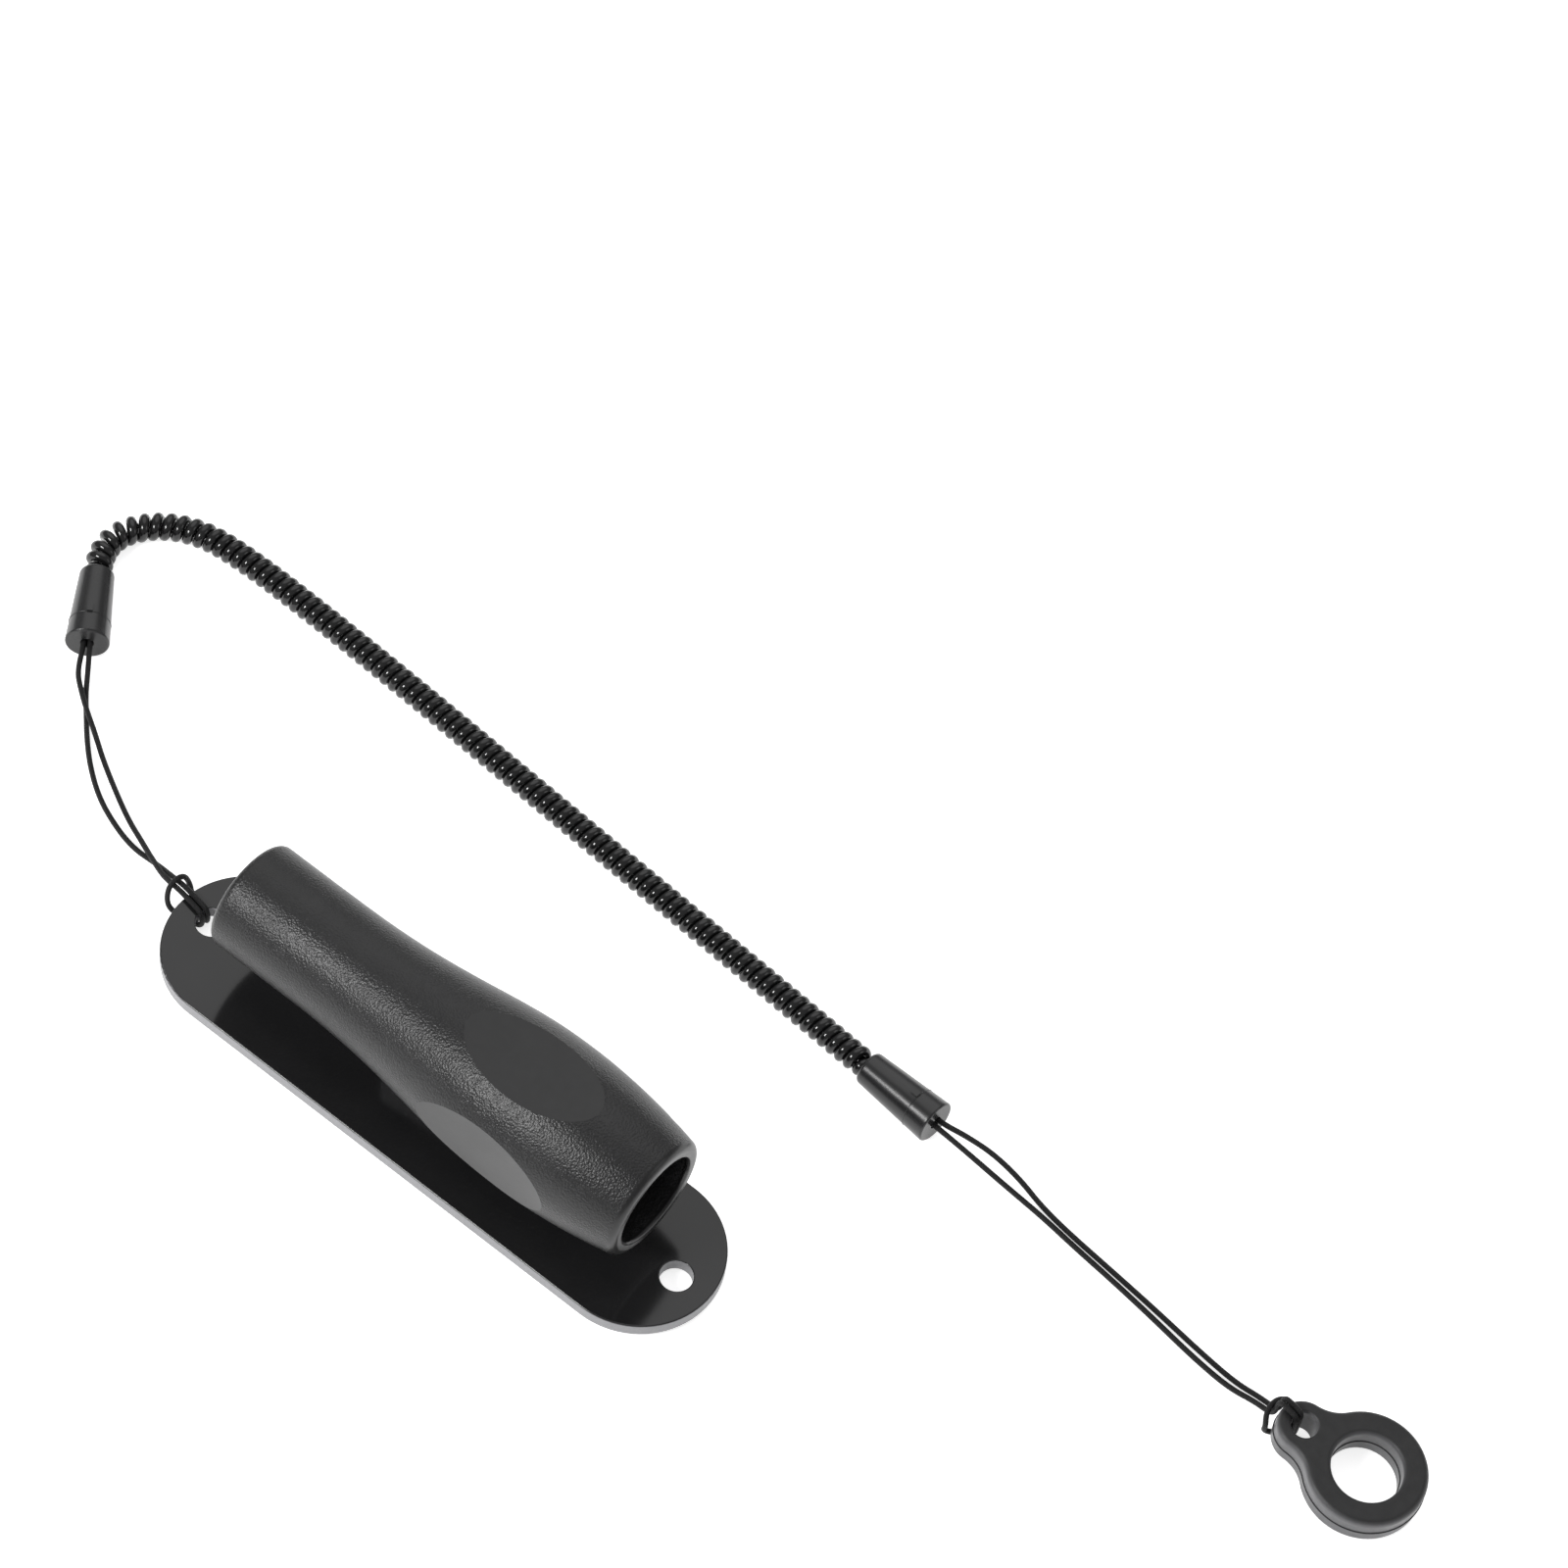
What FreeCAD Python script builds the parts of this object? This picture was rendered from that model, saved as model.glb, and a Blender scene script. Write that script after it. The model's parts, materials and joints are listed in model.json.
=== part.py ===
"""Pen holder on a mounting plate, with a coiled tether and a rubber ring for the pen.

Frame: millimetres, +Z up, origin under the middle of the base plate on the surface that it
rests on, +X along the plate towards the holder's open mouth. The tether lies on that surface.
"""
import FreeCAD, Part
import math
import os

os.makedirs("parts", exist_ok=True)
V = FreeCAD.Vector
UP = V(0, 0, 1)

# Base plate: a flat plate with round ends and one hole near each end
PLATE_LENGTH = 124.2
PLATE_WIDTH = 32.0
PLATE_THICKNESS = 3.0
PLATE_EDGE_ROUND = 0.35
HOLE_RADIUS = 3.05
HOLE_EDGE_ROUND = 0.2
HOLE_TO_END = 7.2

# Adhesive pad: foam tape under the plate, clear of both holes
PAD_THICKNESS = 1.3
PAD_SIDE_MARGIN = 1.5
PAD_CORNER_RADIUS = 4.0
PAD_HOLE_CLEARANCE = 5.5

# Holder tube: a tapered barrel with four finger flats, closed at the rear
TUBE_REAR_X = -46.5
TUBE_MOUTH_X = 48.3
TUBE_AXIS_OVER_PLATE = 19.3
BORE_RADIUS = 9.1
REAR_WALL = 1.7
BULGE_WALL = 5.8
MOUTH_WALL = 2.8
BULGE_TO_MOUTH = 26.8
FLARE_LENGTH = 49.0
FLARE_START_HOLD = 24.0
FLARE_END_HOLD = 16.0
END_WALL = 2.5
REAR_EDGE_ROUND = 1.5
LIP_OUTER_ROUND = 1.6
LIP_INNER_ROUND = 0.6

# Finger flats: shallow scoops round the bulge
FLAT_DEPTH = 2.1
FLAT_SCOOP_RADIUS = 104.0
FLAT_TO_MOUTH = 31.5
FLAT_COUNT = 4

# Foot: the rib that carries the tube on the plate
FOOT_LENGTH = 48.0
FOOT_WIDTH = 9.0
FOOT_TO_MOUTH = 14.3

# Countersunk self-tapping screws, driven up through the plate into the foot
SCREW_RADIUS = 1.5
SCREW_HEAD_RADIUS = 2.8
SCREW_HEAD_HEIGHT = 1.6
SCREW_LENGTH = 8.0
SCREW_TIP_LENGTH = 1.2
SCREW_TIP_RADIUS = 0.5
SCREW_SPACING = 32.0
SCREW_CLEARANCE = 0.15
SCREW_RECESS = 0.2
DRIVE_RADIUS = 1.1
DRIVE_DEPTH = 0.9
PILOT_CLEARANCE = 0.05

# Thin braided loop cords
CORD_RADIUS = 0.525

# Coiled cord: outer size of the coil and the wire that it is wound from
COIL_RADIUS = 2.8
WIRE_RADIUS = 1.05

# Ferrules: a tapered shell and a plug snapped into its wide end
FERRULE_LENGTH = 17.0
FERRULE_NARROW_RADIUS = 3.3
FERRULE_WIDE_RADIUS = 4.25
FERRULE_SEAM = 12.4
FERRULE_WALL = 1.0
FERRULE_SHOULDER_ROUND = 0.9
FERRULE_END_WALL = 1.6
WIRE_HOLE_CLEARANCE = 0.1
SPIGOT_LENGTH = 2.6
SPIGOT_CLEARANCE = 0.1
PLUG_HOLE_RADIUS = 1.3
PLUG_EDGE_ROUND = 0.4
TAB_LENGTH = 1.5
TAB_WIDTH = 1.1
TAB_HEIGHT = 0.35
STOP_RADIUS = 1.7
STOP_LENGTH = 3.0
STOP_EDGE_ROUND = 0.5
KNOT_RADIUS = 1.8
KNOT_LENGTH = 2.4
KNOT_EDGE_ROUND = 0.7
KNOT_FACE = 12.0

# Rubber ring for the pen, with an eyelet lug; it lies on the cord that passes under the lug
RING_RADIUS = 11.1
RING_BORE_RADIUS = 6.5
RING_THICKNESS = 6.8
RING_OUTER_ROUND = 1.2
RING_BORE_ROUND = 0.9
LUG_RADIUS = 4.95
EYELET_RADIUS = 2.45
EYELET_ROUND = 0.5
EYELET_TO_RING = 13.2
NECK_RADIUS = 7.0
RING_TILT = 3.0

# Where the tether's pieces lie
REAR_FERRULE_TIP = (-123.3, 44.0)
REAR_FERRULE_HEADING = -54.0
FRONT_FERRULE_TIP = (53.4, 56.95)
FRONT_FERRULE_HEADING = -4.9
EYELET_PLACE = (157.15, 48.9)
RING_HEADING = 4.5
PLATE_HITCH_HEADING = 170.0
RING_HITCH_HEADING = 171.3

# The coil leaves each ferrule's tip in line with it for this far
COIL_LEAD_REAR = 5.0
COIL_LEAD_FRONT = 8.0

# Coil centre line between those two leads
COIL_ROUTE = [
    (-126.7, 54.2, 2.8), (-122.7, 60.3, 2.8), (-115.8, 64.4, 2.8), (-106.5, 65.6, 2.8),
    (-90.5, 65.5, 2.8), (-62.0, 64.2, 2.8), (-30.0, 62.2, 2.8), (5.0, 60.1, 2.8),
    (31.0, 58.6, 2.8),
]

# Each loop cord leaves its ferrule as two strands, in line with it and side by side
STRAND_SIDE = 0.58
STRAND_LEAD = 0.4

# Plate loop, strand that crosses over the other one twice, from the ferrule to the hitch
PLATE_STRAND_OVER = [
    (-110.7, 24.7, 3.3), (-107.9, 22.7, 2.1), (-104.0, 20.1, 1.8), (-100.2, 17.9, 1.7),
    (-95.4, 14.9, 0.6), (-89.0, 11.3, 0.55), (-82.6, 8.0, 0.55), (-77.2, 5.7, 1.5),
    (-72.3, 3.4, 2.8),
]
PLATE_STRAND_UNDER = [
    (-109.4, 26.2, 3.0), (-107.2, 23.2, 0.9), (-104.3, 20.2, 0.55), (-100.9, 16.6, 0.55),
    (-96.1, 12.2, 0.55), (-89.8, 7.9, 0.55), (-82.9, 5.2, 0.55), (-77.5, 4.0, 0.6),
    (-72.5, 4.0, 1.2),
]

# Plate hitch, (outward from the hole's centre, sideways, up): over the plate, down through
# the hole, out under the plate, up round its edge, across both strands and back again
PLATE_HITCH = [
    (13.0, 0.65, 3.7), (8.9, 0.62, 5.0), (5.3, 0.62, 5.15), (2.0, 0.62, 5.1),
    (2.0, 0.62, 0.58), (4.9, 1.6, 0.58), (8.3, 2.9, 0.58), (9.7, 2.9, 2.8),
    (10.3, 1.6, 5.9), (10.3, -1.4, 6.3), (9.8, -2.5, 3.5), (8.5, -2.2, 0.58),
    (5.0, -1.3, 0.58), (2.0, -0.62, 0.58), (2.0, -0.62, 5.1), (5.3, -0.62, 5.15),
    (8.9, -0.62, 5.0), (13.0, -0.65, 3.5),
]

# Ring loop, upper and lower strands from the ferrule to the hitch
RING_STRAND_UPPER = [
    (76.0, 57.6, 3.2), (81.5, 59.0, 1.2), (88.0, 58.4, 0.55), (94.5, 56.5, 0.55),
    (102.0, 55.4, 0.55), (112.5, 54.4, 0.55), (123.0, 53.3, 0.55), (134.0, 51.9, 0.55),
    (142.0, 51.2, 0.6),
]
RING_STRAND_LOWER = [
    (76.3, 55.2, 3.0), (82.3, 55.7, 1.0), (89.0, 55.4, 0.55), (96.0, 54.9, 0.55),
    (104.0, 53.9, 0.55), (114.0, 52.9, 0.55), (123.5, 51.7, 0.55), (133.0, 50.3, 0.55),
    (141.5, 49.6, 0.6),
]

# Ring hitch, (outward from the eyelet's centre, sideways, up)
RING_HITCH = [
    (10.2, 0.64, 1.9), (6.3, 0.64, 3.1), (5.7, 0.64, 6.2), (5.6, 0.64, 8.95),
    (3.6, 0.62, 9.2), (1.45, 0.62, 9.0), (1.5, 0.62, 6.2), (1.5, 0.66, 3.4),
    (1.6, 0.62, 0.58), (3.8, 1.45, 0.58), (5.6, 2.9, 0.6), (5.3, 3.2, 3.1),
    (6.3, 2.5, 4.9), (7.0, 1.0, 5.6), (7.0, -1.0, 5.6), (6.3, -2.5, 4.9),
    (5.3, -3.2, 3.1), (5.6, -2.9, 0.6), (3.8, -1.45, 0.58), (1.6, -0.62, 0.58),
    (1.5, -0.66, 3.4), (1.5, -0.62, 6.2), (1.45, -0.62, 9.0), (3.6, -0.62, 9.2),
    (5.6, -0.64, 8.95), (5.7, -0.64, 6.2), (6.3, -0.64, 3.1), (10.2, -0.64, 1.9),
]

# Shape of a swept arc: its share of the shorter run beside the corner
ARC_SHARE = 0.45

PLATE_BOTTOM = PAD_THICKNESS
PLATE_TOP = PLATE_BOTTOM + PLATE_THICKNESS
TUBE_AXIS_Z = PLATE_TOP + TUBE_AXIS_OVER_PLATE
REAR_RADIUS = BORE_RADIUS + REAR_WALL
BULGE_RADIUS = BORE_RADIUS + BULGE_WALL
MOUTH_RADIUS = BORE_RADIUS + MOUTH_WALL
HOLE_X = PLATE_LENGTH / 2 - HOLE_TO_END
BULGE_X = TUBE_MOUTH_X - BULGE_TO_MOUTH
FOOT_X = TUBE_MOUTH_X - FOOT_TO_MOUTH - FOOT_LENGTH / 2
SCREW_XS = [FOOT_X - SCREW_SPACING / 2, FOOT_X + SCREW_SPACING / 2]
FERRULE_TILT = math.degrees(math.asin((FERRULE_WIDE_RADIUS - FERRULE_NARROW_RADIUS) / FERRULE_LENGTH))


def save(name, shape):
    """Write one node's solids and report their volume."""
    if not shape.isValid():
        raise ValueError(f"{name} is not a valid shape")
    shape.exportStep(f"parts/{name}.step")
    print(f"{name}: {len(shape.Solids)} solid(s), {shape.Volume:.1f} mm3")


def clean(shape):
    """One solid with its split faces merged."""
    return shape.removeSplitter().Solids[0]


def edges_where(shape, test):
    return [edge for edge in shape.Edges if test(edge)]


def flat_at(edge, height):
    """Whether an edge lies wholly in the horizontal plane at this height."""
    box = edge.BoundBox
    return abs(box.ZMin - height) < 1e-4 and abs(box.ZMax - height) < 1e-4


def face_rims(shape, bottom, top):
    """Edges of the lower and the upper face of a flat piece."""
    return edges_where(shape, lambda e: flat_at(e, bottom) or flat_at(e, top))


def round_rims(shape, radius, bottom, top):
    """Rims of the holes of one radius through a flat piece."""
    return [e for e in face_rims(shape, bottom, top) if abs(e.BoundBox.XLength - 2 * radius) < 1e-3]


def flat_along(edge, x):
    """Whether an edge lies wholly in the plane across X at this place."""
    box = edge.BoundBox
    return abs(box.XMin - x) < 1e-4 and abs(box.XMax - x) < 1e-4


def stadium(length, width, height, bottom, centre_x=0.0):
    """A slab with round ends, length along X."""
    radius = width / 2
    straight = length - width
    slab = Part.makeBox(straight, width, height, V(centre_x - straight / 2, -radius, bottom))
    for side in (-1, 1):
        slab = slab.fuse(Part.makeCylinder(radius, height, V(centre_x + side * straight / 2, 0, bottom)))
    return clean(slab)


def upright_hole(x, radius, bottom, top):
    return Part.makeCylinder(radius, top - bottom, V(x, 0, bottom))


def countersink(x):
    """Clearance for one screw from below: recess, cone and shank."""
    grow = SCREW_CLEARANCE
    head_top = PLATE_BOTTOM + SCREW_RECESS + SCREW_HEAD_HEIGHT
    cone = Part.makeCone(SCREW_HEAD_RADIUS + grow, SCREW_RADIUS + grow, SCREW_HEAD_HEIGHT,
                         V(x, 0, PLATE_BOTTOM + SCREW_RECESS))
    recess = upright_hole(x, SCREW_HEAD_RADIUS + grow, PLATE_BOTTOM - 1, PLATE_BOTTOM + SCREW_RECESS)
    shank = upright_hole(x, SCREW_RADIUS + grow, head_top - 0.01, PLATE_TOP + 1)
    return cone.fuse([recess, shank])


def base_plate():
    plate = stadium(PLATE_LENGTH, PLATE_WIDTH, PLATE_THICKNESS, PLATE_BOTTOM)
    plate = plate.makeFillet(PLATE_EDGE_ROUND, face_rims(plate, PLATE_BOTTOM, PLATE_TOP))
    for side in (-1, 1):
        plate = plate.cut(upright_hole(side * HOLE_X, HOLE_RADIUS, PLATE_BOTTOM - 1, PLATE_TOP + 1))
    plate = plate.makeFillet(HOLE_EDGE_ROUND, round_rims(plate, HOLE_RADIUS, PLATE_BOTTOM, PLATE_TOP))
    for x in SCREW_XS:
        plate = plate.cut(countersink(x))
    return clean(plate)


def adhesive_pad():
    length = 2 * (HOLE_X - HOLE_RADIUS - PAD_HOLE_CLEARANCE)
    width = PLATE_WIDTH - 2 * PAD_SIDE_MARGIN
    pad = Part.makeBox(length, width, PAD_THICKNESS, V(-length / 2, -width / 2, 0))
    upright = edges_where(pad, lambda e: e.BoundBox.ZLength > PAD_THICKNESS / 2)
    return clean(pad.makeFillet(PAD_CORNER_RADIUS, upright))


def tube_point(x, radius):
    return V(x, 0, TUBE_AXIS_Z + radius)


def tube_flare():
    """Generating line from the straight rear part up to the bulge."""
    start = BULGE_X - FLARE_LENGTH
    curve = Part.BezierCurve()
    curve.setPoles([
        tube_point(start, REAR_RADIUS),
        tube_point(start + FLARE_START_HOLD, REAR_RADIUS),
        tube_point(BULGE_X - FLARE_END_HOLD, BULGE_RADIUS),
        tube_point(BULGE_X, BULGE_RADIUS),
    ])
    return curve.toShape()


def tube_nose():
    """Generating line from the bulge down to the mouth."""
    curve = Part.BezierCurve()
    curve.setPoles([
        tube_point(BULGE_X, BULGE_RADIUS),
        tube_point(BULGE_X + BULGE_TO_MOUTH / 2, BULGE_RADIUS),
        tube_point(TUBE_MOUTH_X, MOUTH_RADIUS),
    ])
    return curve.toShape()


def tube_body():
    start = BULGE_X - FLARE_LENGTH
    edges = [
        Part.makeLine(tube_point(TUBE_REAR_X, 0), tube_point(TUBE_REAR_X, REAR_RADIUS)),
        Part.makeLine(tube_point(TUBE_REAR_X, REAR_RADIUS), tube_point(start, REAR_RADIUS)),
        tube_flare(),
        tube_nose(),
        Part.makeLine(tube_point(TUBE_MOUTH_X, MOUTH_RADIUS), tube_point(TUBE_MOUTH_X, 0)),
        Part.makeLine(tube_point(TUBE_MOUTH_X, 0), tube_point(TUBE_REAR_X, 0)),
    ]
    outline = Part.Face(Part.Wire(edges))
    body = outline.revolve(tube_point(0, 0), V(1, 0, 0), 360)
    body = body.makeFillet(REAR_EDGE_ROUND, edges_where(body, lambda e: flat_along(e, TUBE_REAR_X)))
    return body.makeFillet(LIP_OUTER_ROUND, edges_where(body, lambda e: flat_along(e, TUBE_MOUTH_X)))


def finger_scoop(turn):
    """A wide cylinder that shaves one finger flat, turned about the tube's axis."""
    reach = BULGE_RADIUS - FLAT_DEPTH + FLAT_SCOOP_RADIUS
    x = TUBE_MOUTH_X - FLAT_TO_MOUTH
    width = 2 * BULGE_RADIUS
    scoop = Part.makeCylinder(FLAT_SCOOP_RADIUS, width, V(x, width / 2, TUBE_AXIS_Z + reach), V(0, -1, 0))
    return scoop.rotated(tube_point(0, 0), V(1, 0, 0), turn)


def screw_pilot(x):
    top = PLATE_BOTTOM + SCREW_RECESS + SCREW_LENGTH + PILOT_CLEARANCE
    return upright_hole(x, SCREW_RADIUS + PILOT_CLEARANCE, PLATE_TOP - 1, top)


def holder_tube():
    tube = tube_body()
    for index in range(FLAT_COUNT):
        tube = tube.cut(finger_scoop(index * 360 / FLAT_COUNT))
    foot_height = TUBE_AXIS_OVER_PLATE - BORE_RADIUS
    tube = tube.fuse(stadium(FOOT_LENGTH, FOOT_WIDTH, foot_height, PLATE_TOP, FOOT_X))
    bore_start = TUBE_REAR_X + END_WALL
    bore = Part.makeCylinder(BORE_RADIUS, TUBE_MOUTH_X - bore_start + 1, tube_point(bore_start, 0), V(1, 0, 0))
    tube = clean(tube.cut(bore))
    rim = edges_where(tube, lambda e: flat_along(e, TUBE_MOUTH_X) and e.BoundBox.ZLength < 2 * BORE_RADIUS + 0.1)
    tube = tube.makeFillet(LIP_INNER_ROUND, rim)
    for x in SCREW_XS:
        tube = tube.cut(screw_pilot(x))
    return clean(tube)


def foot_screw(x):
    head_bottom = PLATE_BOTTOM + SCREW_RECESS
    head_top = head_bottom + SCREW_HEAD_HEIGHT
    shank_length = SCREW_LENGTH - SCREW_HEAD_HEIGHT - SCREW_TIP_LENGTH
    head = Part.makeCone(SCREW_HEAD_RADIUS, SCREW_RADIUS, SCREW_HEAD_HEIGHT, V(x, 0, head_bottom))
    shank = Part.makeCylinder(SCREW_RADIUS, shank_length, V(x, 0, head_top))
    tip = Part.makeCone(SCREW_RADIUS, SCREW_TIP_RADIUS, SCREW_TIP_LENGTH, V(x, 0, head_top + shank_length))
    screw = clean(head.fuse([shank, tip]))
    for turn in (0, 90):
        slot = Part.makeBox(2 * DRIVE_RADIUS, DRIVE_RADIUS / 2, DRIVE_DEPTH + 1,
                            V(x - DRIVE_RADIUS, -DRIVE_RADIUS / 4, head_bottom - 1))
        screw = screw.cut(slot.rotated(V(x, 0, 0), UP, turn))
    return clean(screw)


def ferrule_place(tip, heading):
    """Placement of a piece that is drawn along +X from the ferrule's tip, resting on its skin."""
    height = FERRULE_NARROW_RADIUS * math.cos(math.radians(FERRULE_TILT))
    turn = FreeCAD.Rotation(UP, heading).multiply(FreeCAD.Rotation(V(0, 1, 0), -FERRULE_TILT))
    return FreeCAD.Placement(V(tip[0], tip[1], height), turn)


def placed(shape, placement):
    return shape.transformed(placement.toMatrix())


def ferrule_radius(x):
    """Outer radius of the taper at a distance from the tip."""
    share = x / FERRULE_LENGTH
    return FERRULE_NARROW_RADIUS + share * (FERRULE_WIDE_RADIUS - FERRULE_NARROW_RADIUS)


def along_x(radius, length, start):
    return Part.makeCylinder(radius, length, V(start, 0, 0), V(1, 0, 0))


def taper(start, end, shrink=0.0):
    """The ferrule's cone between two distances from its tip, made smaller by a wall."""
    return Part.makeCone(ferrule_radius(start) - shrink, ferrule_radius(end) - shrink, end - start,
                         V(start, 0, 0), V(1, 0, 0))


def ferrule_shell():
    shell = taper(0, FERRULE_SEAM)
    shell = shell.makeFillet(FERRULE_SHOULDER_ROUND, edges_where(shell, lambda e: flat_along(e, 0)))
    tab = Part.makeBox(TAB_LENGTH, TAB_WIDTH, ferrule_radius(FERRULE_SEAM) + TAB_HEIGHT - FERRULE_WALL / 2,
                       V(FERRULE_SEAM - TAB_LENGTH, -TAB_WIDTH / 2, FERRULE_WALL / 2))
    shell = shell.fuse(tab)
    shell = shell.cut(taper(FERRULE_END_WALL, FERRULE_SEAM, FERRULE_WALL))
    wire_hole = along_x(WIRE_RADIUS + WIRE_HOLE_CLEARANCE, FERRULE_END_WALL + 1, -0.5)
    return clean(shell.cut(wire_hole))


def ferrule_plug():
    cap = taper(FERRULE_SEAM, FERRULE_LENGTH)
    cap = cap.makeFillet(PLUG_EDGE_ROUND, edges_where(cap, lambda e: flat_along(e, FERRULE_LENGTH)))
    spigot = taper(FERRULE_SEAM - SPIGOT_LENGTH, FERRULE_SEAM, FERRULE_WALL + SPIGOT_CLEARANCE)
    room_start = FERRULE_SEAM - SPIGOT_LENGTH - 1
    knot_room = along_x(KNOT_RADIUS + SPIGOT_CLEARANCE, KNOT_FACE + SPIGOT_CLEARANCE - room_start, room_start)
    outlet = along_x(PLUG_HOLE_RADIUS, FERRULE_LENGTH, 1)
    return clean(cap.fuse(spigot).cut(knot_room).cut(outlet))


def rounded_rod(radius, length, start, rounding):
    rod = along_x(radius, length, start)
    ends = edges_where(rod, lambda e: flat_along(e, start) or flat_along(e, start + length))
    return rod.makeFillet(rounding, ends)


def coil_stop():
    """Wire tail from the coil's end with the crimp that holds it inside the ferrule."""
    tail = along_x(WIRE_RADIUS, FERRULE_END_WALL + 0.5, 0)
    stop = rounded_rod(STOP_RADIUS, STOP_LENGTH, FERRULE_END_WALL + WIRE_HOLE_CLEARANCE, STOP_EDGE_ROUND)
    return clean(tail.fuse(stop))


def loop_knot():
    """The knot that joins both cord ends behind the plug."""
    return rounded_rod(KNOT_RADIUS, KNOT_LENGTH, KNOT_FACE - KNOT_LENGTH, KNOT_EDGE_ROUND)


def strand_start(place, side):
    """First two points of a strand: at the knot and just outside the plug."""
    return [place.multVec(V(along, side, 0)) for along in (KNOT_FACE, FERRULE_LENGTH + STRAND_LEAD)]


def hitch_points(centre, heading, points):
    """Points given outward, sideways and up, turned to face the heading about a hole's centre."""
    turn = FreeCAD.Rotation(UP, heading)
    return [V(centre[0], centre[1], 0) + turn.multVec(V(*point)) for point in points]


def corner_arc(before, corner, after):
    """Tangent arc that rounds one corner of a route, and its radius."""
    back = before - corner
    ahead = after - corner
    reach = ARC_SHARE * min(back.Length, ahead.Length)
    half_turn = (math.pi - back.getAngle(ahead)) / 2
    radius = reach / math.tan(half_turn)
    back.normalize()
    ahead.normalize()
    inward = back + ahead
    inward.normalize()
    middle = corner + inward * (radius / math.cos(half_turn) - radius)
    return Part.Arc(corner + back * reach, middle, corner + ahead * reach), radius


def tube_along(route, radius):
    """A tube of straight runs and tangent arcs; also its arc radii and its length."""
    edges = []
    radii = []
    start = route[0]
    for before, corner, after in zip(route, route[1:], route[2:]):
        arc, arc_radius = corner_arc(before, corner, after)
        edges.append(Part.LineSegment(start, arc.StartPoint).toShape())
        edges.append(arc.toShape())
        radii.append(arc_radius)
        start = arc.EndPoint
    edges.append(Part.LineSegment(start, route[-1]).toShape())
    spine = Part.Wire(edges)
    ring = Part.Wire(Part.makeCircle(radius, route[0], route[1] - route[0]))
    return spine.makePipeShell([ring], True, True), radii, spine.Length


def save_cord(name, route, radius):
    tube, radii, length = tube_along(route, radius)
    ratio = tube.Volume / (math.pi * radius ** 2 * length)
    print(f"{name}: length {length:.1f} mm, volume ratio {ratio:.4f}")
    print(f"{name}: arc radii {[round(value, 2) for value in radii]}")
    save(name, tube)


def loop_route(place, strand_a, hitch, strand_b):
    """Whole route of a loop cord: out along one strand, round the hitch, back along the other."""
    out = strand_start(place, -STRAND_SIDE) + [V(*point) for point in strand_a]
    back = strand_start(place, STRAND_SIDE) + [V(*point) for point in strand_b]
    return out + hitch + back[::-1]


def neck_points():
    """Where one concave neck arc meets the ring circle, its dip, and where it meets the lug."""
    reach_ring = RING_RADIUS + NECK_RADIUS
    reach_lug = LUG_RADIUS + NECK_RADIUS
    along = (reach_ring ** 2 - reach_lug ** 2 + EYELET_TO_RING ** 2) / (2 * EYELET_TO_RING)
    neck = V(-along, math.sqrt(reach_ring ** 2 - along ** 2), 0)
    lug = V(-EYELET_TO_RING, 0, 0)
    ring_touch = neck * (RING_RADIUS / reach_ring)
    lug_touch = lug + (neck - lug) * (LUG_RADIUS / reach_lug)
    toward = (V(-EYELET_TO_RING / 2, 0, 0) - neck).normalize()
    dip = neck + toward * NECK_RADIUS
    return ring_touch, dip, lug_touch


def flip(point):
    return V(point.x, -point.y, point.z)


def pen_ring():
    ring_touch, dip, lug_touch = neck_points()
    far = V(RING_RADIUS, 0, 0)
    lug_end = V(-EYELET_TO_RING - LUG_RADIUS, 0, 0)
    outline = Part.Wire([
        Part.Arc(flip(ring_touch), far, ring_touch).toShape(),
        Part.Arc(ring_touch, dip, lug_touch).toShape(),
        Part.Arc(lug_touch, lug_end, flip(lug_touch)).toShape(),
        Part.Arc(flip(lug_touch), flip(dip), flip(ring_touch)).toShape(),
    ])
    ring = Part.Face(outline).extrude(V(0, 0, RING_THICKNESS))
    ring = ring.makeFillet(RING_OUTER_ROUND, face_rims(ring, 0, RING_THICKNESS))
    for x, radius, rounding in ((0, RING_BORE_RADIUS, RING_BORE_ROUND),
                                (-EYELET_TO_RING, EYELET_RADIUS, EYELET_ROUND)):
        ring = ring.cut(upright_hole(x, radius, -1, RING_THICKNESS + 1))
        ring = ring.makeFillet(rounding, round_rims(ring, radius, 0, RING_THICKNESS))
    return clean(ring)


def ring_place():
    """The ring's far edge rests on the surface; its lug is raised by the tilt."""
    turn = FreeCAD.Rotation(UP, RING_HEADING).multiply(FreeCAD.Rotation(V(0, 1, 0), RING_TILT))
    eyelet = turn.multVec(V(-EYELET_TO_RING, 0, RING_THICKNESS / 2))
    heel = turn.multVec(V(RING_RADIUS - RING_OUTER_ROUND, 0, RING_OUTER_ROUND))
    base = V(EYELET_PLACE[0] - eyelet.x, EYELET_PLACE[1] - eyelet.y, RING_OUTER_ROUND - heel.z)
    return FreeCAD.Placement(base, turn)


def save_holder():
    save("base_plate", base_plate())
    save("adhesive_pad", adhesive_pad())
    save("holder_tube", holder_tube())
    save("foot_screws", Part.makeCompound([foot_screw(x) for x in SCREW_XS]))


def save_ferrule(name, place):
    save(f"{name}_ferrule_shell", placed(ferrule_shell(), place))
    save(f"{name}_ferrule_plug", placed(ferrule_plug(), place))
    save(f"{name}_coil_stop", placed(coil_stop(), place))
    save(f"{name}_loop_knot", placed(loop_knot(), place))


def coil_route(rear, front):
    """The coil's centre line, in line with each ferrule where it leaves it."""
    start = [rear.Base, rear.multVec(V(-COIL_LEAD_REAR, 0, 0))]
    end = [front.multVec(V(-COIL_LEAD_FRONT, 0, 0)), front.Base]
    return start + [V(*point) for point in COIL_ROUTE] + end


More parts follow.
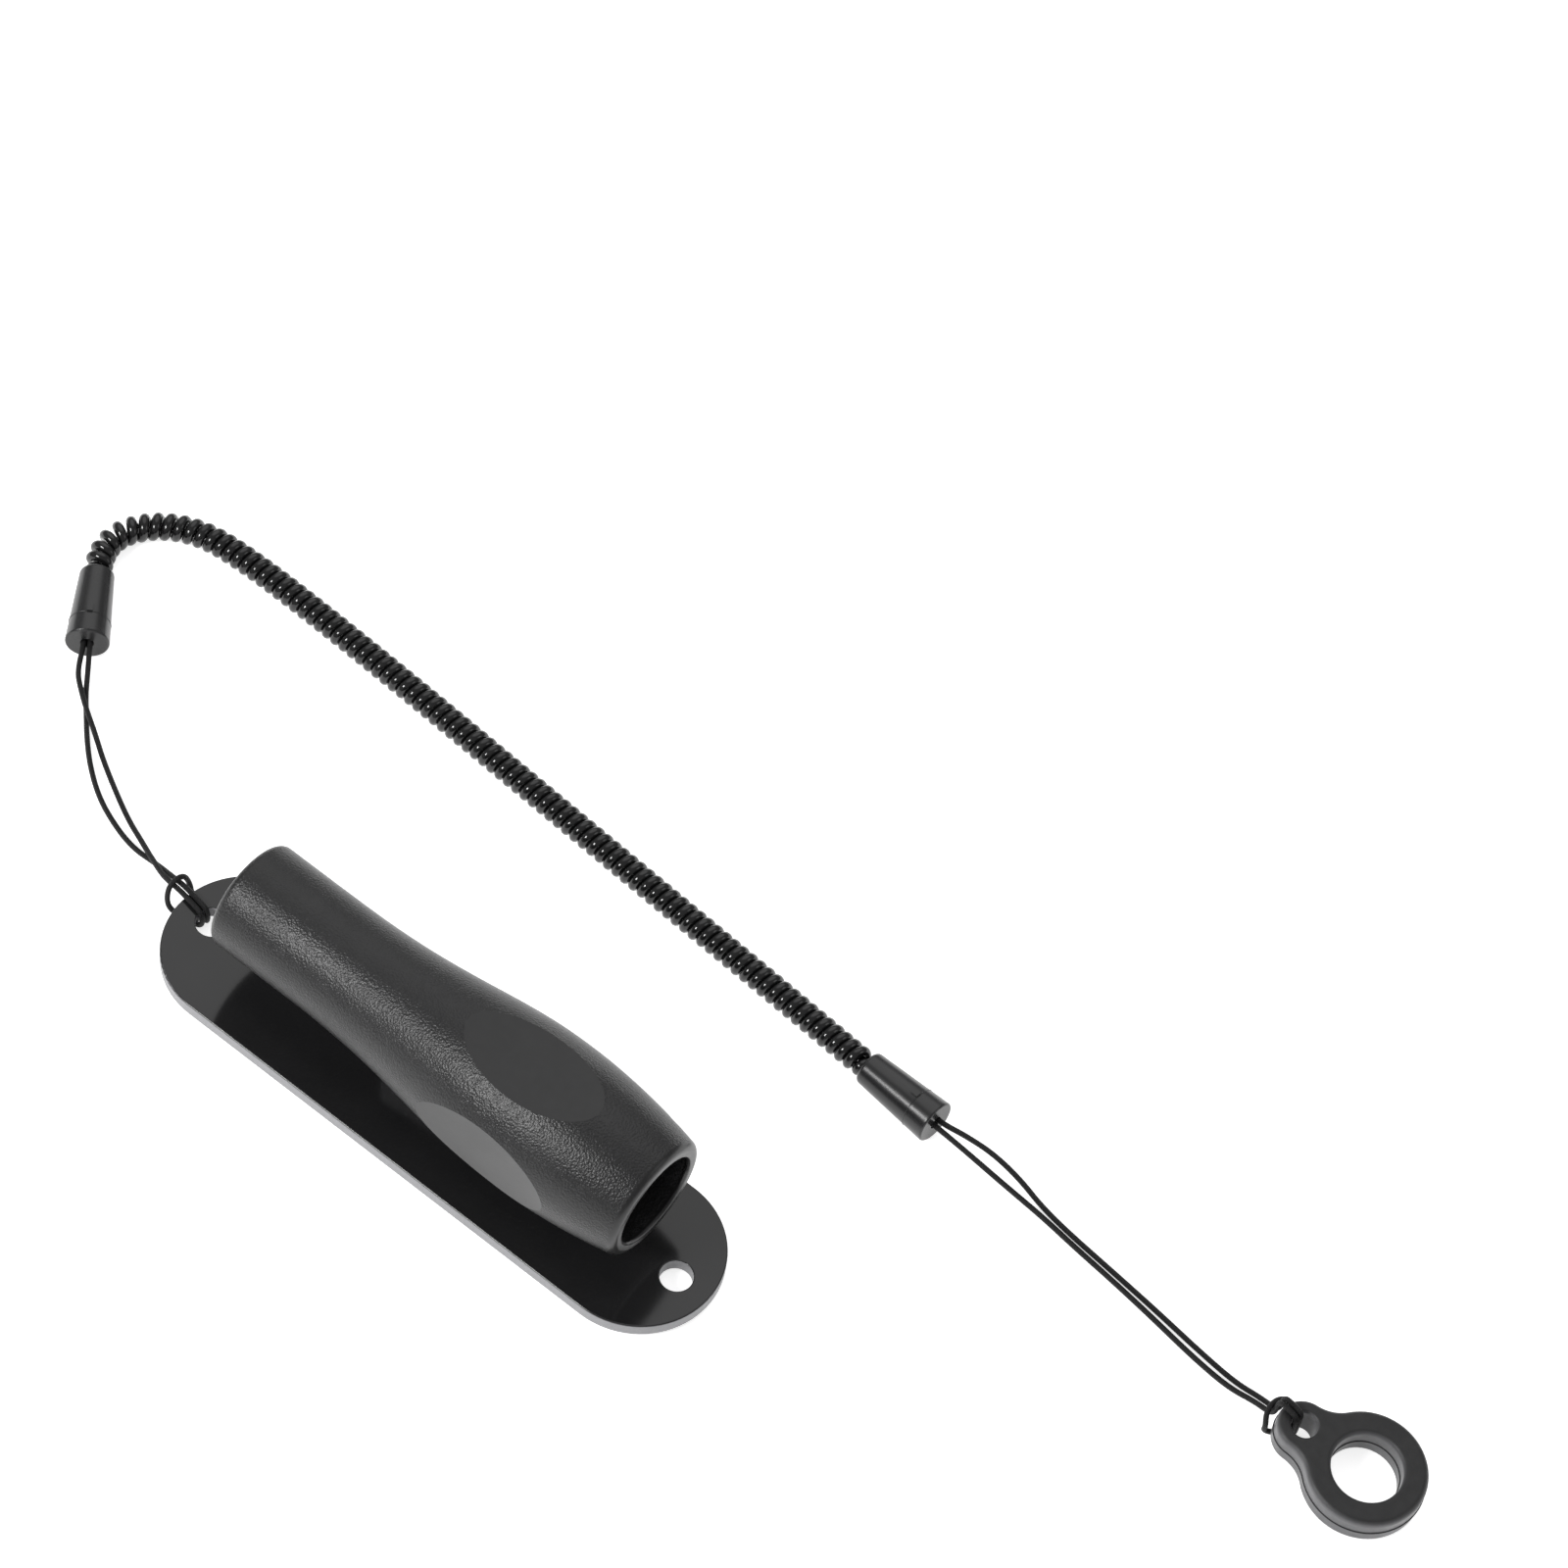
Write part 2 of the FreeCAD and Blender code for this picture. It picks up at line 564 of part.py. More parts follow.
def save_tether():
    rear = ferrule_place(REAR_FERRULE_TIP, REAR_FERRULE_HEADING)
    front = ferrule_place(FRONT_FERRULE_TIP, FRONT_FERRULE_HEADING)
    save_ferrule("rear", rear)
    save_ferrule("front", front)
    save_cord("coil_cord", coil_route(rear, front), COIL_RADIUS)
    plate_hitch = hitch_points((-HOLE_X, 0), PLATE_HITCH_HEADING, PLATE_HITCH)
    plate_route = loop_route(rear, PLATE_STRAND_OVER, plate_hitch, PLATE_STRAND_UNDER)
    save_cord("plate_loop_cord", plate_route, CORD_RADIUS)
    ring_hitch = hitch_points(EYELET_PLACE, RING_HITCH_HEADING, RING_HITCH)
    ring_route = loop_route(front, RING_STRAND_LOWER, ring_hitch, RING_STRAND_UPPER)
    save_cord("ring_loop_cord", ring_route, CORD_RADIUS)
    save("pen_ring", placed(pen_ring(), ring_place()))


save_holder()
save_tether()
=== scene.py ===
import json
import math

import bpy
from mathutils import Matrix, Vector


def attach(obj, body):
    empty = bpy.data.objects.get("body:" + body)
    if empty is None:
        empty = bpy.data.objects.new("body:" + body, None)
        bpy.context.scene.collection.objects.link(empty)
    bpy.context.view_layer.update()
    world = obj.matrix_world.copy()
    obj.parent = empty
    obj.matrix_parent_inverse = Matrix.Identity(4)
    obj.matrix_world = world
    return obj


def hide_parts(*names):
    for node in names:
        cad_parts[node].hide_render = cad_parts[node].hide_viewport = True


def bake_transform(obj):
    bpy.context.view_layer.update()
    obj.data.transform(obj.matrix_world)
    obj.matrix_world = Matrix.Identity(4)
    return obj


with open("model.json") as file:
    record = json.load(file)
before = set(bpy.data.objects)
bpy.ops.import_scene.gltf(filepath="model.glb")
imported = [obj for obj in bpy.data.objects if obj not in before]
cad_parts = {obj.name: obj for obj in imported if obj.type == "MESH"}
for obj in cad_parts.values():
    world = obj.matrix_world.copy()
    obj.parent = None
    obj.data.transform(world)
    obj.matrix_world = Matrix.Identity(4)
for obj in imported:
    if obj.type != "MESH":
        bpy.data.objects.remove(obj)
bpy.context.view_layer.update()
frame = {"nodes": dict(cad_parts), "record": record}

MM = 0.001
scene = bpy.context.scene

# ---------------------------------------------------------------- camera, recovered from the plate's outline
# Place in metres, and the directions of its picture's right side and of its back
CAMERA_PLACE = (0.2963, -0.4058, 0.8729)
CAMERA_RIGHT = Vector((0.7776, 0.6214, 0.0961))
CAMERA_BACK = Vector((0.2799, -0.4789, 0.8320))
CAMERA_LENS_MM = 127.8
CAMERA_SENSOR_MM = 36.0
CAMERA_CLIP_START = 0.01


def make_camera():
    data = bpy.data.cameras.new("camera")
    data.lens = CAMERA_LENS_MM
    data.sensor_width = CAMERA_SENSOR_MM
    data.clip_start = CAMERA_CLIP_START
    camera = bpy.data.objects.new("camera", data)
    back = CAMERA_BACK.normalized()
    up = back.cross(CAMERA_RIGHT).normalized()
    right = up.cross(back)
    turn = Matrix((right, up, back)).transposed().to_4x4()
    camera.matrix_world = Matrix.Translation(CAMERA_PLACE) @ turn
    scene.collection.objects.link(camera)
    scene.camera = camera


make_camera()

# ---------------------------------------------------------------- sizes shared with the CAD model, in mm
HOLE_X = 54.9
CORD_RADIUS = 0.525
COIL_RADIUS = 2.8
WIRE_RADIUS = 1.05
COIL_PITCH = 2.14
FERRULE_LENGTH = 17.0
FERRULE_NARROW_RADIUS = 3.3
FERRULE_WIDE_RADIUS = 4.25
FERRULE_SEAM = 12.4
KNOT_FACE = 12.0
STRAND_SIDE = 0.58
STRAND_LEAD = 0.4
# Place of each ferrule's tip, and its heading in degrees
FERRULES = {
    "rear": ((-123.3, 44.0), -54.0),
    "front": ((53.4, 56.95), -4.9),
}
COIL_LEADS = {"rear": 5.0, "front": 8.0}
EYELET_PLACE = (157.15, 48.9)
RING_HEADING = 4.5
RING_TILT = 3.0
RING_RADIUS = 11.1
RING_BORE_RADIUS = 6.5
RING_THICKNESS = 6.8
RING_OUTER_ROUND = 1.2
LUG_RADIUS = 4.95
EYELET_TO_RING = 13.2
NECK_RADIUS = 7.0
PLATE_HITCH_HEADING = 170.0
RING_HITCH_HEADING = 171.3

# Control points of the cords' centre lines. The hitches are drawn from their own hole, along +X.
COIL_ROUTE = [
    (-126.7, 54.2, 2.8), (-122.7, 60.3, 2.8), (-115.8, 64.4, 2.8), (-106.5, 65.6, 2.8),
    (-90.5, 65.5, 2.8), (-62.0, 64.2, 2.8), (-30.0, 62.2, 2.8), (5.0, 60.1, 2.8),
    (31.0, 58.6, 2.8),
]
PLATE_STRAND_OVER = [
    (-110.7, 24.7, 3.3), (-107.9, 22.7, 2.1), (-104.0, 20.1, 1.8), (-100.2, 17.9, 1.7),
    (-95.4, 14.9, 0.6), (-89.0, 11.3, 0.55), (-82.6, 8.0, 0.55), (-77.2, 5.7, 1.5),
    (-72.3, 3.4, 2.8),
]
PLATE_STRAND_UNDER = [
    (-109.4, 26.2, 3.0), (-107.2, 23.2, 0.9), (-104.3, 20.2, 0.55), (-100.9, 16.6, 0.55),
    (-96.1, 12.2, 0.55), (-89.8, 7.9, 0.55), (-82.9, 5.2, 0.55), (-77.5, 4.0, 0.6),
    (-72.5, 4.0, 1.2),
]
PLATE_HITCH = [
    (13.0, 0.65, 3.7), (8.9, 0.62, 5.0), (5.3, 0.62, 5.15), (2.0, 0.62, 5.1),
    (2.0, 0.62, 0.58), (4.9, 1.6, 0.58), (8.3, 2.9, 0.58), (9.7, 2.9, 2.8),
    (10.3, 1.6, 5.9), (10.3, -1.4, 6.3), (9.8, -2.5, 3.5), (8.5, -2.2, 0.58),
    (5.0, -1.3, 0.58), (2.0, -0.62, 0.58), (2.0, -0.62, 5.1), (5.3, -0.62, 5.15),
    (8.9, -0.62, 5.0), (13.0, -0.65, 3.5),
]
RING_STRAND_UPPER = [
    (76.0, 57.6, 3.2), (81.5, 59.0, 1.2), (88.0, 58.4, 0.55), (94.5, 56.5, 0.55),
    (102.0, 55.4, 0.55), (112.5, 54.4, 0.55), (123.0, 53.3, 0.55), (134.0, 51.9, 0.55),
    (142.0, 51.2, 0.6),
]
RING_STRAND_LOWER = [
    (76.3, 55.2, 3.0), (82.3, 55.7, 1.0), (89.0, 55.4, 0.55), (96.0, 54.9, 0.55),
    (104.0, 53.9, 0.55), (114.0, 52.9, 0.55), (123.5, 51.7, 0.55), (133.0, 50.3, 0.55),
    (141.5, 49.6, 0.6),
]
RING_HITCH = [
    (10.2, 0.64, 1.9), (6.3, 0.64, 3.1), (5.7, 0.64, 6.2), (5.6, 0.64, 8.95),
    (3.6, 0.62, 9.2), (1.45, 0.62, 9.0), (1.5, 0.62, 6.2), (1.5, 0.66, 3.4),
    (1.6, 0.62, 0.58), (3.8, 1.45, 0.58), (5.6, 2.9, 0.6), (5.3, 3.2, 3.1),
    (6.3, 2.5, 4.9), (7.0, 1.0, 5.6), (7.0, -1.0, 5.6), (6.3, -2.5, 4.9),
    (5.3, -3.2, 3.1), (5.6, -2.9, 0.6), (3.8, -1.45, 0.58), (1.6, -0.62, 0.58),
    (1.5, -0.66, 3.4), (1.5, -0.62, 6.2), (1.45, -0.62, 9.0), (3.6, -0.62, 9.2),
    (5.6, -0.64, 8.95), (5.7, -0.64, 6.2), (6.3, -0.64, 3.1), (10.2, -0.64, 1.9),
]

# Fineness of the new meshes: points in a stretch of spline, length of a step, sides of a tube
LOOP_RESOLUTION = 12
LOOP_STEP = 0.35
LOOP_SIDES = 16
COIL_RESOLUTION = 24
COIL_STEPS_PER_TURN = 20
COIL_WIRE_SIDES = 12
BEAD_SIDES = 8

# The coil narrows to its centre line over this length at each tip
COIL_END = 1.3
# On the inner side of a bend the turns stay this many wire diameters apart
TURN_SPACING = 1.02
# A bend is measured over this many points each way, and shortens its inner side to no less than this
BEND_SPAN = 3
TIGHTEST_BEND_SHARE = 0.3

# Radii of the beads that stand for a ferrule's seam and the ring's parting line
SEAM_BEAD = 0.09
PARTING_BEAD = 0.17


# ---------------------------------------------------------------- placing
def ferrule_frame(name):
    """Matrix, in mm, of a ferrule that is drawn along +X from its tip."""
    (x, y), heading = FERRULES[name]
    tilt = math.asin((FERRULE_WIDE_RADIUS - FERRULE_NARROW_RADIUS) / FERRULE_LENGTH)
    turn = Matrix.Rotation(math.radians(heading), 4, "Z") @ Matrix.Rotation(-tilt, 4, "Y")
    return Matrix.Translation((x, y, FERRULE_NARROW_RADIUS * math.cos(tilt))) @ turn


def ring_frame():
    """Matrix, in mm, of the ring: its bore's centre on the lower face, lug towards -X."""
    turn = (Matrix.Rotation(math.radians(RING_HEADING), 4, "Z")
            @ Matrix.Rotation(math.radians(RING_TILT), 4, "Y"))
    eyelet = turn @ Vector((-EYELET_TO_RING, 0, RING_THICKNESS / 2))
    heel = turn @ Vector((RING_RADIUS - RING_OUTER_ROUND, 0, RING_OUTER_ROUND))
    place = (EYELET_PLACE[0] - eyelet.x, EYELET_PLACE[1] - eyelet.y, RING_OUTER_ROUND - heel.z)
    return Matrix.Translation(place) @ turn


def turned(centre, heading, points):
    """Points drawn from a hole along +X, in the part's frame."""
    turn = Matrix.Rotation(math.radians(heading), 3, "Z")
    return [Vector((centre[0], centre[1], 0)) + turn @ Vector(p) for p in points]


def loop_route(name, strand_a, hitch, strand_b):
    """Control points from the knot in a ferrule out along one strand, and back along the other."""
    place = ferrule_frame(name)
    start = [place @ Vector((x, -STRAND_SIDE, 0)) for x in (KNOT_FACE, FERRULE_LENGTH + STRAND_LEAD)]
    end = [place @ Vector((x, STRAND_SIDE, 0)) for x in (FERRULE_LENGTH + STRAND_LEAD, KNOT_FACE)]
    return start + [Vector(p) for p in strand_a] + hitch + [Vector(p) for p in reversed(strand_b)] + end


def coil_route():
    """Control points of the coil's centre line, from ferrule tip to ferrule tip."""
    rear, front = ferrule_frame("rear"), ferrule_frame("front")
    start = [rear @ Vector((x, 0, 0)) for x in (0, -COIL_LEADS["rear"])]
    end = [front @ Vector((x, 0, 0)) for x in (-COIL_LEADS["front"], 0)]
    return start + [Vector(p) for p in COIL_ROUTE] + end


def smooth_line(route, resolution):
    """Points, in metres, along the NURBS spline whose control points are the route."""
    data = bpy.data.curves.new("line", "CURVE")
    data.dimensions = "3D"
    data.resolution_u = resolution
    spline = data.splines.new("NURBS")
    spline.points.add(len(route) - 1)
    for point, place in zip(spline.points, route):
        point.co = (*(place * MM), 1.0)
    spline.order_u = 3
    spline.use_endpoint_u = True
    curve = bpy.data.objects.new("line", data)
    scene.collection.objects.link(curve)
    mesh = bpy.data.meshes.new_from_object(curve)
    points = [v.co.copy() for v in mesh.vertices]
    bpy.data.objects.remove(curve)
    bpy.data.meshes.remove(mesh)
    return points


def lengths(points):
    """Distance of each point from the first, along the line."""
    total = [0.0]
    for a, b in zip(points, points[1:]):
        total.append(total[-1] + (b - a).length)
    return total


def resampled(points, step):
    """The same line with points at an even distance."""
    marks = lengths(points)
    count = max(2, round(marks[-1] / step))
    result = []
    index = 0
    for k in range(count + 1):
        mark = marks[-1] * k / count
        while index < len(points) - 2 and marks[index + 1] < mark:
            index += 1
        span = marks[index + 1] - marks[index]
        share = (mark - marks[index]) / span if span else 0.0
        result.append(points[index].lerp(points[index + 1], min(1.0, share)))
    return result


def tangents(points):
    last = len(points) - 1
    return [(points[min(i + 1, last)] - points[max(i - 1, 0)]).normalized() for i in range(last + 1)]


def carried_normals(points):
    """A normal for each point, carried along the line without twist."""
    along = tangents(points)
    normal = along[0].orthogonal().normalized()
    normals = [normal]
    for before, after in zip(along, along[1:]):
        normal = before.rotation_difference(after) @ normal
        normal = (normal - after * normal.dot(after)).normalized()
        normals.append(normal)
    return along, normals


def mesh_object(name, verts, faces, runs=None):
    """Smooth mesh; runs are vectors for its face corners, which a material can read."""
    mesh = bpy.data.meshes.new(name)
    mesh.from_pydata([tuple(v) for v in verts], [], faces)
    mesh.update()
    for polygon in mesh.polygons:
        polygon.use_smooth = True
    if runs is not None:
        layer = mesh.attributes.new("run", "FLOAT_VECTOR", "CORNER")
        layer.data.foreach_set("vector", [value for run in runs for value in run])
    piece = bpy.data.objects.new(name, mesh)
    scene.collection.objects.link(piece)
    return piece


def tube(name, points, radius, sides):
    """Closed round tube along points. Its faces carry (distance, share of a turn, 0) in metres."""
    along, normals = carried_normals(points)
    marks = lengths(points)
    verts = []
    for place, ahead, normal in zip(points, along, normals):
        side = ahead.cross(normal)
        for k in range(sides):
            angle = 2 * math.pi * k / sides
            verts.append(place + (normal * math.cos(angle) + side * math.sin(angle)) * radius)
    faces = []
    runs = []
    for i in range(len(points) - 1):
        for k in range(sides):
            n = (k + 1) % sides
            faces.append((i * sides + k, i * sides + n, (i + 1) * sides + n, (i + 1) * sides + k))
            runs += [(marks[i], k / sides, 0), (marks[i], (k + 1) / sides, 0),
                     (marks[i + 1], (k + 1) / sides, 0), (marks[i + 1], k / sides, 0)]
    faces.append(tuple(range(sides))[::-1])
    faces.append(tuple(range((len(points) - 1) * sides, len(points) * sides)))
    runs += [(0, k / sides, 0) for k in range(sides)] + [(marks[-1], k / sides, 0) for k in range(sides)]
    return mesh_object(name, verts, faces, runs)


# ---------------------------------------------------------------- materials
# Colour sockets of the Mix node, which have the same names as its number sockets
MIX_FACTOR = 0
MIX_COLOUR_A = 6
MIX_COLOUR_B = 7
MIX_COLOUR_RESULT = 2


class Nodes:
    """A material and short ways to add nodes to it."""

    def __init__(self, name, base, roughness, ior=1.46):
        self.material = bpy.data.materials.new(name)
        self.material.use_nodes = True
        self.tree = self.material.node_tree
        self.shader = self.tree.nodes["Principled BSDF"]
        self.shader.inputs["Base Color"].default_value = (*base, 1)
        self.shader.inputs["Roughness"].default_value = roughness
        self.shader.inputs["IOR"].default_value = ior

    def link(self, value, socket):
        if hasattr(value, "is_output"):
            self.tree.links.new(value, socket)
        else:
            socket.default_value = value

    def add(self, kind, **settings):
        node = self.tree.nodes.new(kind)
        for key, value in settings.items():
            setattr(node, key, value)
        return node

    def math(self, operation, a, b=0.0):
        node = self.add("ShaderNodeMath", operation=operation)
        self.link(a, node.inputs[0])
        self.link(b, node.inputs[1])
        return node.outputs[0]

    def ramp(self, value, low, high, out_low=0.0, out_high=1.0):
        node = self.add("ShaderNodeMapRange")
        for socket, entry in zip(node.inputs, (value, low, high, out_low, out_high)):
            self.link(entry, socket)
        return node.outputs["Result"]

    def mix(self, share, a, b):
        node = self.add("ShaderNodeMix", data_type="RGBA")
        self.link(share, node.inputs[MIX_FACTOR])
        self.link(a, node.inputs[MIX_COLOUR_A])
        self.link(b, node.inputs[MIX_COLOUR_B])
        return node.outputs[MIX_COLOUR_RESULT]

    def split(self, vector):
        node = self.add("ShaderNodeSeparateXYZ")
        self.link(vector, node.inputs[0])
        return node.outputs

    def place(self):
        return self.add("ShaderNodeTexCoord").outputs["Object"]

    def normal(self):
        return self.add("ShaderNodeNewGeometry").outputs["True Normal"]

    def noise(self, size_mm, detail=2.0, roughness=0.5):
        node = self.add("ShaderNodeTexNoise")
        self.link(self.place(), node.inputs["Vector"])
        node.inputs["Scale"].default_value = 1000.0 / size_mm
        node.inputs["Detail"].default_value = detail
        node.inputs["Roughness"].default_value = roughness
        return node.outputs["Fac"]

    def cells(self, size_mm):
        node = self.add("ShaderNodeTexVoronoi", feature="F1")
        self.link(self.place(), node.inputs["Vector"])
        node.inputs["Scale"].default_value = 1000.0 / size_mm
        return node.outputs["Distance"]

    def bump(self, height, depth_mm, strength=1.0):
        node = self.add("ShaderNodeBump")
        self.link(height, node.inputs["Height"])
        self.link(strength, node.inputs["Strength"])
        node.inputs["Distance"].default_value = depth_mm * MM
        return node.outputs["Normal"]

    def set(self, **sockets):
        for name, value in sockets.items():
            self.link(value, self.shader.inputs[name.replace("_", " ")])
        return self.material


def grey(value):
    """Neutral colour with a trace of blue."""
    return (value, value, value * 1.04, 1)


# A flat faces Y or Z, so one of its normal's two parts is below this; the lip starts here, in mm
FLAT_NORMAL_LIMIT = 0.003
LIP_START = 47.2
HOLDER_GRAIN = 0.08


def holder_material():
    """Satin moulded plastic with a fine spark grain; the finger flats and the lip are smooth."""
    m = Nodes("holder_grained_plastic", (0.013, 0.013, 0.014), 0.4, 1.44)
    _, ny, nz = m.split(m.normal())
    off_axis = m.math("MINIMUM", m.math("ABSOLUTE", ny), m.math("ABSOLUTE", nz))
    flat = m.math("LESS_THAN", off_axis, FLAT_NORMAL_LIMIT)
    x, _, _ = m.split(m.place())
    lip = m.math("GREATER_THAN", x, LIP_START * MM)
    smooth = m.math("MAXIMUM", flat, lip)
    grain = m.math("ADD", m.math("MULTIPLY", m.cells(0.42), 0.8), m.math("MULTIPLY", m.noise(0.26), 0.7))
    strength = m.ramp(smooth, 0, 1, 1.0, 0.03)
    rough = m.ramp(m.noise(9.0), 0.3, 0.7, 0.31, 0.36)
    smooth_rough = m.ramp(m.noise(9.0), 0.3, 0.7, 0.27, 0.33)
    roughness = m.math("ADD", m.math("MULTIPLY", smooth, smooth_rough),
                       m.math("MULTIPLY", m.math("SUBTRACT", 1.0, smooth), rough))
    colour = m.mix(m.noise(2.2, 3), grey(0.008), grey(0.015))
    return m.set(Base_Color=colour, Roughness=roughness, Normal=m.bump(grain, HOLDER_GRAIN, strength))


def plate_material():
    """Polished sheet with satin sawn edges and hole walls; the walls' light grey is a painted reflection."""
    m = Nodes("plate_polished_sheet", (0.012, 0.012, 0.013), 0.12, 1.49)
    _, _, nz = m.split(m.normal())
    wall = m.ramp(m.math("ABSOLUTE", nz), 0.25, 0.75, 1, 0)
    saw = m.noise(0.35, 3)
    polished = m.mix(m.noise(6, 3), grey(0.010), grey(0.014))
    # Edges and hole walls painted light grey: a painted reflection, varied by the saw noise
    wall_painted_reflection = m.mix(saw, grey(0.26), grey(0.36))
    colour = m.mix(wall, polished, wall_painted_reflection)
    roughness = m.math("ADD", m.ramp(m.noise(14, 4), 0.35, 0.75, 0.10, 0.15),
                       m.math("MULTIPLY", wall, 0.32))
    strength = m.math("ADD", m.math("MULTIPLY", wall, 0.3), 0.015)
    return m.set(Base_Color=colour, Roughness=roughness, Normal=m.bump(saw, 0.04, strength))


def plain_material(name, dark, light, rough, size_mm, depth_mm, ior=1.46):
    """One dark tone with fine relief, cloudy colour and cloudy shine."""
    m = Nodes(name, (dark, dark, dark), rough, ior)
    fine = m.noise(size_mm, 3, 0.6)
    colour = m.mix(m.noise(size_mm * 6, 3), grey(dark), grey(light))
    roughness = m.ramp(m.noise(size_mm * 9, 3), 0.3, 0.7, rough * 0.85, rough * 1.15)
    return m.set(Base_Color=colour, Roughness=roughness, Normal=m.bump(fine, depth_mm, 0.5))


def ring_material():
    """Silicone rubber: matte faces with a faint bloom, smoother moulded sides painted light grey as a
    painted sheen.
    """
    m = Nodes("ring_silicone", (0.036, 0.036, 0.038), 0.56, 1.43)
    _, _, nz = m.split(m.normal())
    side = m.ramp(m.math("ABSOLUTE", nz), 0.35, 0.93, 1, 0)
    face = m.mix(m.noise(3.0, 4, 0.6), grey(0.013), grey(0.020))
    # The sides are painted light grey: a painted sheen standing in for their grazing reflection
    wall = m.mix(m.noise(1.4, 4, 0.6), grey(0.10), grey(0.15))
    bloom = m.ramp(m.noise(1.6, 3), 0.3, 0.7, 0.5, 0.62)
    roughness = m.math("SUBTRACT", bloom, m.math("MULTIPLY", side, 0.2))
    fine = m.math("ADD", m.noise(0.18, 2), m.math("MULTIPLY", m.noise(1.2, 2), 1.5))
    colour = m.mix(side, face, wall)
    return m.set(Base_Color=colour, Roughness=roughness, Normal=m.bump(fine, 0.035, 0.5))


# Strands each way, and the length in mm in which one goes round the cord
BRAID_STRANDS = 8.0
BRAID_LAY = 6 * CORD_RADIUS


def braid_material():
    """Fine braid: crossing diagonal strands round the cord, with a painted highlight on the raised
    crossings.
    """
    m = Nodes("braided_cord", (0.02, 0.02, 0.022), 0.5, 1.5)
    m.shader.inputs["Specular IOR Level"].default_value = 0.25
    run = m.add("ShaderNodeAttribute", attribute_name="run").outputs["Vector"]
    distance, around, _ = m.split(run)
    forward = m.math("MULTIPLY", distance, math.pi * BRAID_STRANDS / (BRAID_LAY * MM))
    round_it = m.math("MULTIPLY", around, math.pi * BRAID_STRANDS)
    rising = m.math("ADD", forward, round_it)
    falling = m.math("SUBTRACT", forward, round_it)
    weave = m.math("MULTIPLY", m.math("SINE", rising), m.math("SINE", falling))
    height = m.math("ABSOLUTE", weave)
    fuzz = m.noise(0.12, 2)
    # Raised strand crossings are painted lighter, a painted highlight; the fuzz adds random tone
    tone = m.math("ADD", m.math("MULTIPLY", height, 0.7), m.math("MULTIPLY", fuzz, 0.3))
    colour = m.mix(tone, grey(0.003), grey(0.018))
    roughness = m.ramp(fuzz, 0.3, 0.7, 0.42, 0.6)
    total = m.math("ADD", height, m.math("MULTIPLY", fuzz, 0.35))
    return m.set(Base_Color=colour, Roughness=roughness, Normal=m.bump(total, 0.09, 0.9))


def screw_material():
    """Bright zinc with faint blotches."""
    m = Nodes("zinc_plated_steel", (0.55, 0.56, 0.57), 0.3)
    m.shader.inputs["Metallic"].default_value = 1.0
    colour = m.mix(m.noise(0.8, 3), grey(0.45), grey(0.62))
    roughness = m.ramp(m.noise(0.4, 3), 0.3, 0.7, 0.22, 0.4)
    return m.set(Base_Color=colour, Roughness=roughness, Normal=m.bump(m.noise(0.2, 2), 0.01, 0.4))


MATERIALS = {
    "holder": holder_material(),
    "plate": plate_material(),
    "foam": plain_material("foam_tape", dark=0.02, light=0.035, rough=0.85, size_mm=0.35, depth_mm=0.12),
    "screw": screw_material(),
    "ferrule": plain_material("ferrule_satin_plastic", dark=0.011, light=0.016, rough=0.27,
                              size_mm=1.4, depth_mm=0.012, ior=1.5),
    "coil": plain_material("coil_gloss_plastic", dark=0.006, light=0.009, rough=0.12,
                           size_mm=0.9, depth_mm=0.012, ior=1.5),
    "braid": braid_material(),
    "ring": ring_material(),
    "ring_line": plain_material("ring_parting_line", dark=0.006, light=0.012, rough=0.6,
                                size_mm=0.5, depth_mm=0.02),
}


def finish_piece(piece, slot, finish=None):
    """Gives a piece the material of its record slot, or another one."""
    piece.data.materials.clear()
    piece.data.materials.append(MATERIALS[finish or slot])


# ---------------------------------------------------------------- cords
def loop_cord(name, node, body, route):
    """A doubled thin cord, both strands and the hitch in one piece."""
    points = resampled(smooth_line(route, LOOP_RESOLUTION), LOOP_STEP * MM)
    piece = tube(name, points, CORD_RADIUS * MM, LOOP_SIDES)
    finish_piece(piece, "braid")
    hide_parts(node)
    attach(piece, body)


def coil_helix(points):
    """Close-wound helix round a line; where the line bends, the turns fan out on its outer side."""
    along, normals = carried_normals(points)
    marks = lengths(points)
    total = marks[-1]
    helix_radius = (COIL_RADIUS - WIRE_RADIUS) * MM
    angle = 0.0
    wire = []
    last = len(points) - 1
    for i, (place, ahead, normal) in enumerate(zip(points, along, normals)):
        first, final = max(0, i - BEND_SPAN), min(last, i + BEND_SPAN)
        span = max(1e-9, marks[final] - marks[first])
        bend = along[first].angle(along[final], 0.0) / span
        inner = max(TIGHTEST_BEND_SHARE, 1 - helix_radius * bend)
        pitch = max(COIL_PITCH * MM, TURN_SPACING * 2 * WIRE_RADIUS * MM / inner)
        if i:
            angle -= 2 * math.pi * (marks[i] - marks[i - 1]) / pitch
        end = min(marks[i], total - marks[i])
        grow = min(1.0, end / (COIL_END * MM))
        reach = helix_radius * grow * grow * (3 - 2 * grow)
        side = ahead.cross(normal)
        wire.append(place + (normal * math.cos(angle) + side * math.sin(angle)) * reach)
    return wire


def coil_cord():
    """The coil with its real turns, stretched between the tether's two bodies."""
    step = COIL_PITCH / COIL_STEPS_PER_TURN * MM
    wire = coil_helix(resampled(smooth_line(coil_route(), COIL_RESOLUTION), step))
    piece = tube("coil_wire", wire, WIRE_RADIUS * MM, COIL_WIRE_SIDES)
    finish_piece(piece, "coil")
    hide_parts("coil_cord")
    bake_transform(piece)


